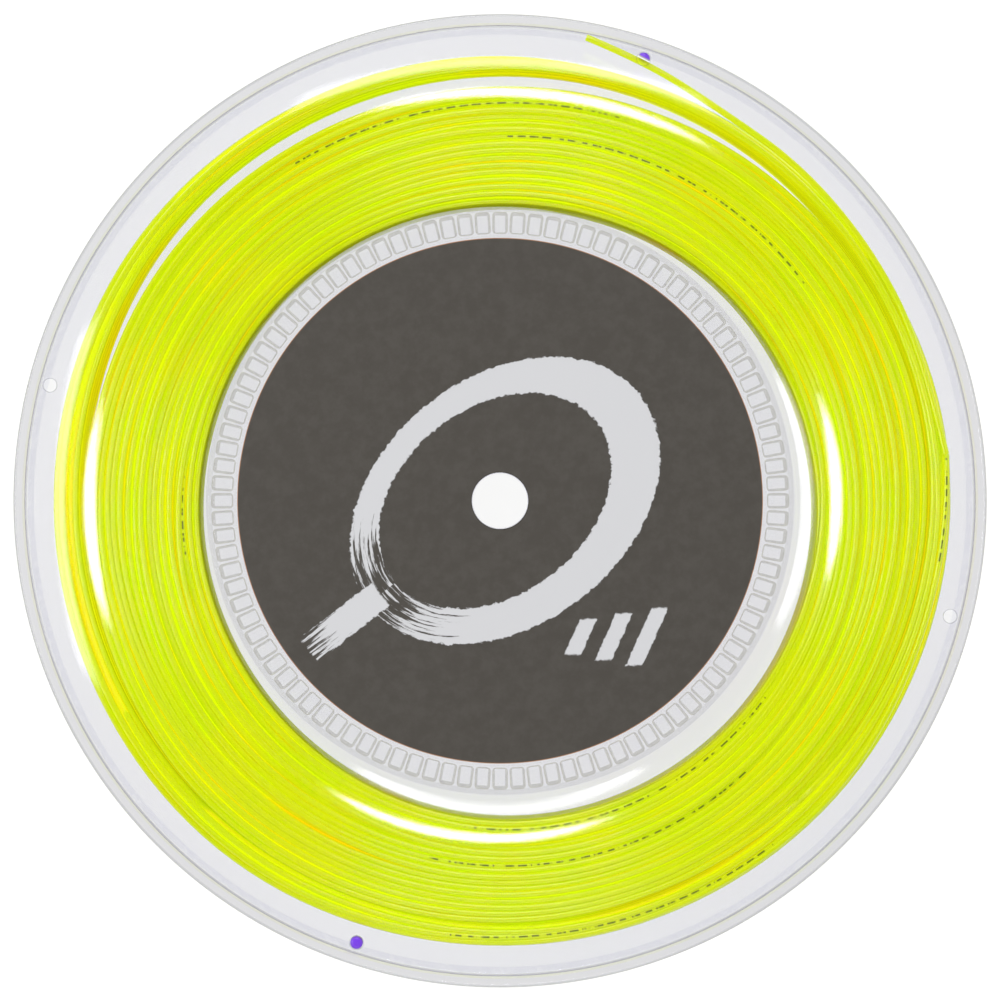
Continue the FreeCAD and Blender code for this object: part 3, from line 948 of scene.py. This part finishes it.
def plug_material():
    """Glossy purple plastic with a faint moulding grain."""
    s = Shader("purple_plastic")
    body = s.node("ShaderNodeBsdfPrincipled")
    place = s.place()
    tone = s.ramp(s.noise(place, 900, 3), 0.3, 0.7)
    s.feed(body.inputs["Base Color"], s.mix(tone, PURPLE_DARK, PURPLE_PALE))
    s.feed(body.inputs["Roughness"], s.ramp(s.noise(place, 1500, 2), 0.3, 0.7, 0.15, 0.3))
    s.feed(body.inputs["Normal"], s.bump(s.noise(place, 1200, 2), 0.1, 0.00005))
    return s.surface(body.outputs[0])


PAPER_DARK = (0.049, 0.042, 0.033, 1)
PAPER_PALE = (0.061, 0.054, 0.044, 1)
PAINT = (0.60, 0.60, 0.61, 1)
# The paper's warm cut edge, and how far in from it the colour starts and is full.
CUT_EDGE = (0.42, 0.20, 0.10, 1)
EDGE_START, EDGE_FULL = 0.2, 0.05


def label_material(name, artwork):
    """Dark satin paper with mottling and, on the front, a brushed racket and three bars."""
    s = Shader(name)
    body = s.node("ShaderNodeBsdfPrincipled")
    place = s.place()
    mottle = s.ramp(s.noise(place, 420, 6, 0.65), 0.35, 0.7)
    colour = s.mix(mottle, PAPER_DARK, PAPER_PALE)
    if artwork:
        colour = s.mix(racket_mask(s), colour, PAINT)
    x, y, _ = s.split(place)
    radius = s.length(x, y)
    at_edge = s.ramp(radius, (LABEL_RADIUS - EDGE_START) * MM, (LABEL_RADIUS - EDGE_FULL) * MM)
    colour = s.mix(at_edge, colour, CUT_EDGE)
    s.feed(body.inputs["Base Color"], colour)
    body.inputs["Roughness"].default_value = 0.55
    s.feed(body.inputs["Normal"], s.bump(s.noise(place, 2500, 3), 0.15, 0.00003))
    return s.surface(body.outputs[0])


# The painted racket, in millimetres: its hoop's half axes and stroke, and its shaft's middle,
# half length and half width. Then the bars' slant and height, and each one's place and half length.
RACKET_TURN = math.radians(38)
HOOP_LONG, HOOP_SHORT = 27.0, 19.5
HOOP_MEAN = (HOOP_LONG + HOOP_SHORT) / 2
HOOP_STROKE, HOOP_SWELL, SWELL_TURN = 3.3, 0.9, 0.8
SHAFT_MIDDLE, SHAFT_HALF, SHAFT_STROKE = -35.5, 8.2, 2.6
BAR_SLANT, BAR_HEIGHT, BAR_STROKE = 0.45, -24.5, 1.5
BARS = ((25.5, 3.2), (31.5, 4.2), (37.5, 5.2))
# Half the softness of a stroke's side, of its cut end and of a bristle's mark.
SIDE_SOFTNESS, END_SOFTNESS, BRISTLE_SOFTNESS = 0.12, 0.2, 0.03


def rotated(s, x, y, turn):
    """Coordinates along and across a direction."""
    c, n = math.cos(turn), math.sin(turn)
    along = s.math("ADD", s.math("MULTIPLY", x, c), s.math("MULTIPLY", y, n))
    across = s.math("SUBTRACT", s.math("MULTIPLY", y, c), s.math("MULTIPLY", x, n))
    return along, across


def racket_mask(s):
    """1 where the front label is painted: a racket's hoop and shaft, and three bars."""
    x, y, _ = s.split(s.place())
    x, y = s.math("MULTIPLY", x, 1 / MM), s.math("MULTIPLY", y, 1 / MM)
    along, across = rotated(s, x, y, RACKET_TURN)
    ragged = s.math("SUBTRACT", s.noise(s.vector(x, y, 0.0), 0.9, 4, 0.6), 0.5)
    hoop = hoop_mask(s, along, across, ragged)
    shaft = shaft_mask(s, along, across, ragged)
    bars = bars_mask(s, x, y, ragged)
    return s.math("MAXIMUM", s.math("MAXIMUM", hoop, shaft), bars)


def stroke(s, distance, half_width, ragged, roughness):
    """1 inside a brush stroke, with a ragged edge."""
    edge = s.math("SUBTRACT", half_width, distance)
    edge = s.math("ADD", edge, s.math("MULTIPLY", ragged, roughness))
    return s.ramp(edge, -SIDE_SOFTNESS, SIDE_SOFTNESS)


def between_ends(s, along, middle, half, ragged):
    """1 between a stroke's two ragged ends."""
    away = s.math("ABSOLUTE", s.math("SUBTRACT", along, middle))
    edge = s.math("ADD", s.math("SUBTRACT", half, away), ragged)
    return s.ramp(edge, -END_SOFTNESS, END_SOFTNESS)


def dry_brush(s, along, across, dryness):
    """Bristle streaks along a stroke, more of them where the brush is dry."""
    bristles = s.vector(s.math("MULTIPLY", along, 0.10), s.math("MULTIPLY", across, 1.9), 3.0)
    grain = s.noise(bristles, 1.0, 5, 0.65)
    return s.ramp(s.math("SUBTRACT", grain, dryness), -BRISTLE_SOFTNESS, BRISTLE_SOFTNESS)


def hoop_mask(s, along, across, ragged):
    """The racket's oval hoop, painted wetter at its tip and dry where it meets the shaft."""
    u, v = s.math("DIVIDE", along, HOOP_LONG), s.math("DIVIDE", across, HOOP_SHORT)
    off = s.math("MULTIPLY", s.math("SUBTRACT", s.length(u, v), 1.0), HOOP_MEAN)
    turn = s.math("ARCTAN2", v, u)
    swell = s.math("MULTIPLY", s.math("COSINE", s.math("ADD", turn, SWELL_TURN)), HOOP_SWELL)
    half_width = s.math("ADD", HOOP_STROKE, swell)
    paint = stroke(s, s.math("ABSOLUTE", off), half_width, ragged, 1.5)
    arc = s.math("MULTIPLY", turn, HOOP_MEAN)
    dryness = s.ramp(s.math("ABSOLUTE", turn), 1.7, 3.1, 0.15, 0.56)
    return s.math("MULTIPLY", paint, dry_brush(s, arc, off, dryness))


def shaft_mask(s, along, across, ragged):
    """The racket's short shaft, dry towards its end."""
    inside = between_ends(s, along, SHAFT_MIDDLE, SHAFT_HALF, ragged)
    paint = stroke(s, s.math("ABSOLUTE", across), SHAFT_STROKE, ragged, 1.2)
    dryness = s.ramp(along, -45.0, -30.0, 0.55, 0.2)
    brushed = dry_brush(s, along, across, dryness)
    return s.math("MULTIPLY", s.math("MULTIPLY", paint, inside), brushed)


def bars_mask(s, x, y, ragged):
    """Three slanted bars of growing length at the lower right."""
    slanted = s.math("SUBTRACT", x, s.math("MULTIPLY", y, BAR_SLANT))
    found = 0.0
    for middle, half in BARS:
        aside = s.math("ABSOLUTE", s.math("SUBTRACT", slanted, middle))
        paint = stroke(s, aside, BAR_STROKE, ragged, 0.9)
        inside = between_ends(s, y, BAR_HEIGHT, half, ragged)
        found = s.math("MAXIMUM", found, s.math("MULTIPLY", paint, inside))
    return found


FLOOR_COLOUR = (0.16, 0.16, 0.16, 1)
FLOOR_GLOW = 0.92
FLOOR_HALF = 2.5


def floor_material():
    """A white table that is lit from below, as for pictures of clear things."""
    s = Shader("floor")
    body = s.node("ShaderNodeBsdfPrincipled")
    body.inputs["Base Color"].default_value = FLOOR_COLOUR
    body.inputs["Roughness"].default_value = 0.9
    body.inputs["Specular IOR Level"].default_value = 0.1
    body.inputs["Emission Color"].default_value = (1, 1, 1, 1)
    body.inputs["Emission Strength"].default_value = FLOOR_GLOW
    return s.surface(body.outputs[0])


# ---------------------------------------------------------------- studio


def make_floor():
    """A wide plain table under the reel."""
    half = FLOOR_HALF
    corners = [(-half, -half, 0), (half, -half, 0), (half, half, 0), (-half, half, 0)]
    mesh = bpy.data.meshes.new("floor")
    mesh.from_pydata(corners, [], [(0, 1, 2, 3)])
    link("floor", mesh, floor_material())


def add_panel(name, place, size, brightness, shape="RECTANGLE"):
    """A soft light panel aimed at the reel; brightness is what a white card of its own would show.

    Its size is given sideways and then towards the reel's axis.
    """
    data = bpy.data.lights.new(name, "AREA")
    data.shape = shape
    data.size, data.size_y = size
    area = size[0] * size[1] * (math.pi / 4 if shape == "ELLIPSE" else 1)
    data.energy = brightness * area * math.pi
    lamp = bpy.data.objects.new(name, data)
    lamp.location = place
    aim = Vector((0, 0, REEL_WIDTH * MM)) - Vector(place)
    lamp.rotation_euler = aim.to_track_quat("-Z", "Y").to_euler()
    bpy.context.scene.collection.objects.link(lamp)


# Broad panels, in metres: each one's name, place towards +x and +y, and brightness.
WASHES = (
    ("left_wash", -1.15, 0, 3.6),
    ("top_wash", 0, 1.15, 3.6),
    ("right_wash", 1.15, 0, 1.6),
    ("bottom_wash", 0, -1.15, 1.6),
)
WASH_HEIGHT, WASH_SIZE = 1.15, (0.9, 0.9)
# Small ones beside the camera, whose reflections are the crescents and pale bands on the crown.
GLINTS = (
    ("left_key", (-0.228, -0.008), (0.11, 0.066), 20, "ELLIPSE"),
    ("top_key", (0.022, 0.217), (0.18, 0.046), 20, "ELLIPSE"),
    ("left_fill", (-0.42, 0.0), (0.36, 0.07), 4.2, "RECTANGLE"),
    ("top_fill", (0.0, 0.41), (0.42, 0.06), 4.2, "RECTANGLE"),
)
GLINT_HEIGHT = 1.2


def make_lights():
    """Broad panels on four sides, and small ones beside the camera for the gloss."""
    for name, x, y, brightness in WASHES:
        add_panel(name, (x, y, WASH_HEIGHT), WASH_SIZE, brightness)
    for name, (x, y), size, brightness, shape in GLINTS:
        add_panel(name, (x, y, GLINT_HEIGHT), size, brightness, shape)


# Height of the view direction where the studio's pale walls end and its dark ceiling begins.
DARK_BELOW, DARK_ABOVE = 0.45, 0.85
WALL_LIGHT, CEILING_LIGHT = 0.85, 0.04
STUDIO_TINT = (0.96, 0.97, 1.0, 1)
# How many clear faces, and how many other surfaces, a ray of light may meet.
MOST_CLEAR_FACES, MOST_BOUNCES = 48, 8


def make_world():
    """A studio that is dark overhead, beside the camera, and pale towards the walls."""
    world = bpy.data.worlds.new("studio")
    world.use_nodes = True
    nodes, links = world.node_tree.nodes, world.node_tree.links
    backdrop = nodes["Background"]
    backdrop.inputs["Color"].default_value = STUDIO_TINT
    split = nodes.new("ShaderNodeSeparateXYZ")
    fall = nodes.new("ShaderNodeMapRange")
    fall.interpolation_type = "SMOOTHSTEP"
    for socket, value in zip(fall.inputs[1:5], (DARK_BELOW, DARK_ABOVE, WALL_LIGHT, CEILING_LIGHT)):
        socket.default_value = value
    links.new(nodes.new("ShaderNodeTexCoord").outputs["Generated"], split.inputs[0])
    links.new(split.outputs["Z"], fall.inputs[0])
    links.new(fall.outputs[0], backdrop.inputs["Strength"])
    scene = bpy.context.scene
    scene.world = world
    scene.view_settings.view_transform = "Standard"
    scene.cycles.transparent_max_bounces = MOST_CLEAR_FACES
    scene.cycles.max_bounces = MOST_BOUNCES


make_camera()
wound_string, free_string = string_material(True), string_material(False)
make_tail(free_string)
# The bead, slope and wall materials are clear plastic with painted shade in their tint.
flange_materials = {
    "clear": clear_material("clear_plastic", CLEAR_TINT),
    "bead": clear_material("clear_bead", BEAD_PAINTED_SHADE),
    "slope": clear_material("clear_bead_slope", SLOPE_PAINTED_SHADE),
    "wall": clear_material("clear_rim_wall", WALL_PAINTED_SHADE),
}
make_flange("front_flange", True, flange_materials)
make_flange("rear_flange", False, flange_materials)
clear_drum = clear_material("clear_drum", DRUM_TINT, DRUM_GLOSS)
make_drum(clear_drum, clear_material("clear_cell_edge", CELL_EDGE_PAINTED_SHADE, CELL_EDGE_GLOSS))
make_winding(wound_string)
make_label("front_paper", "front_label", label_material("front_print", True))
make_label("rear_paper", "rear_label", label_material("rear_print", False))
purple = plug_material()
for plug in ("tail_plug", "rim_plug"):
    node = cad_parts[plug]
    node.data.materials.clear()
    node.data.materials.append(purple)
make_floor()
make_lights()
make_world()
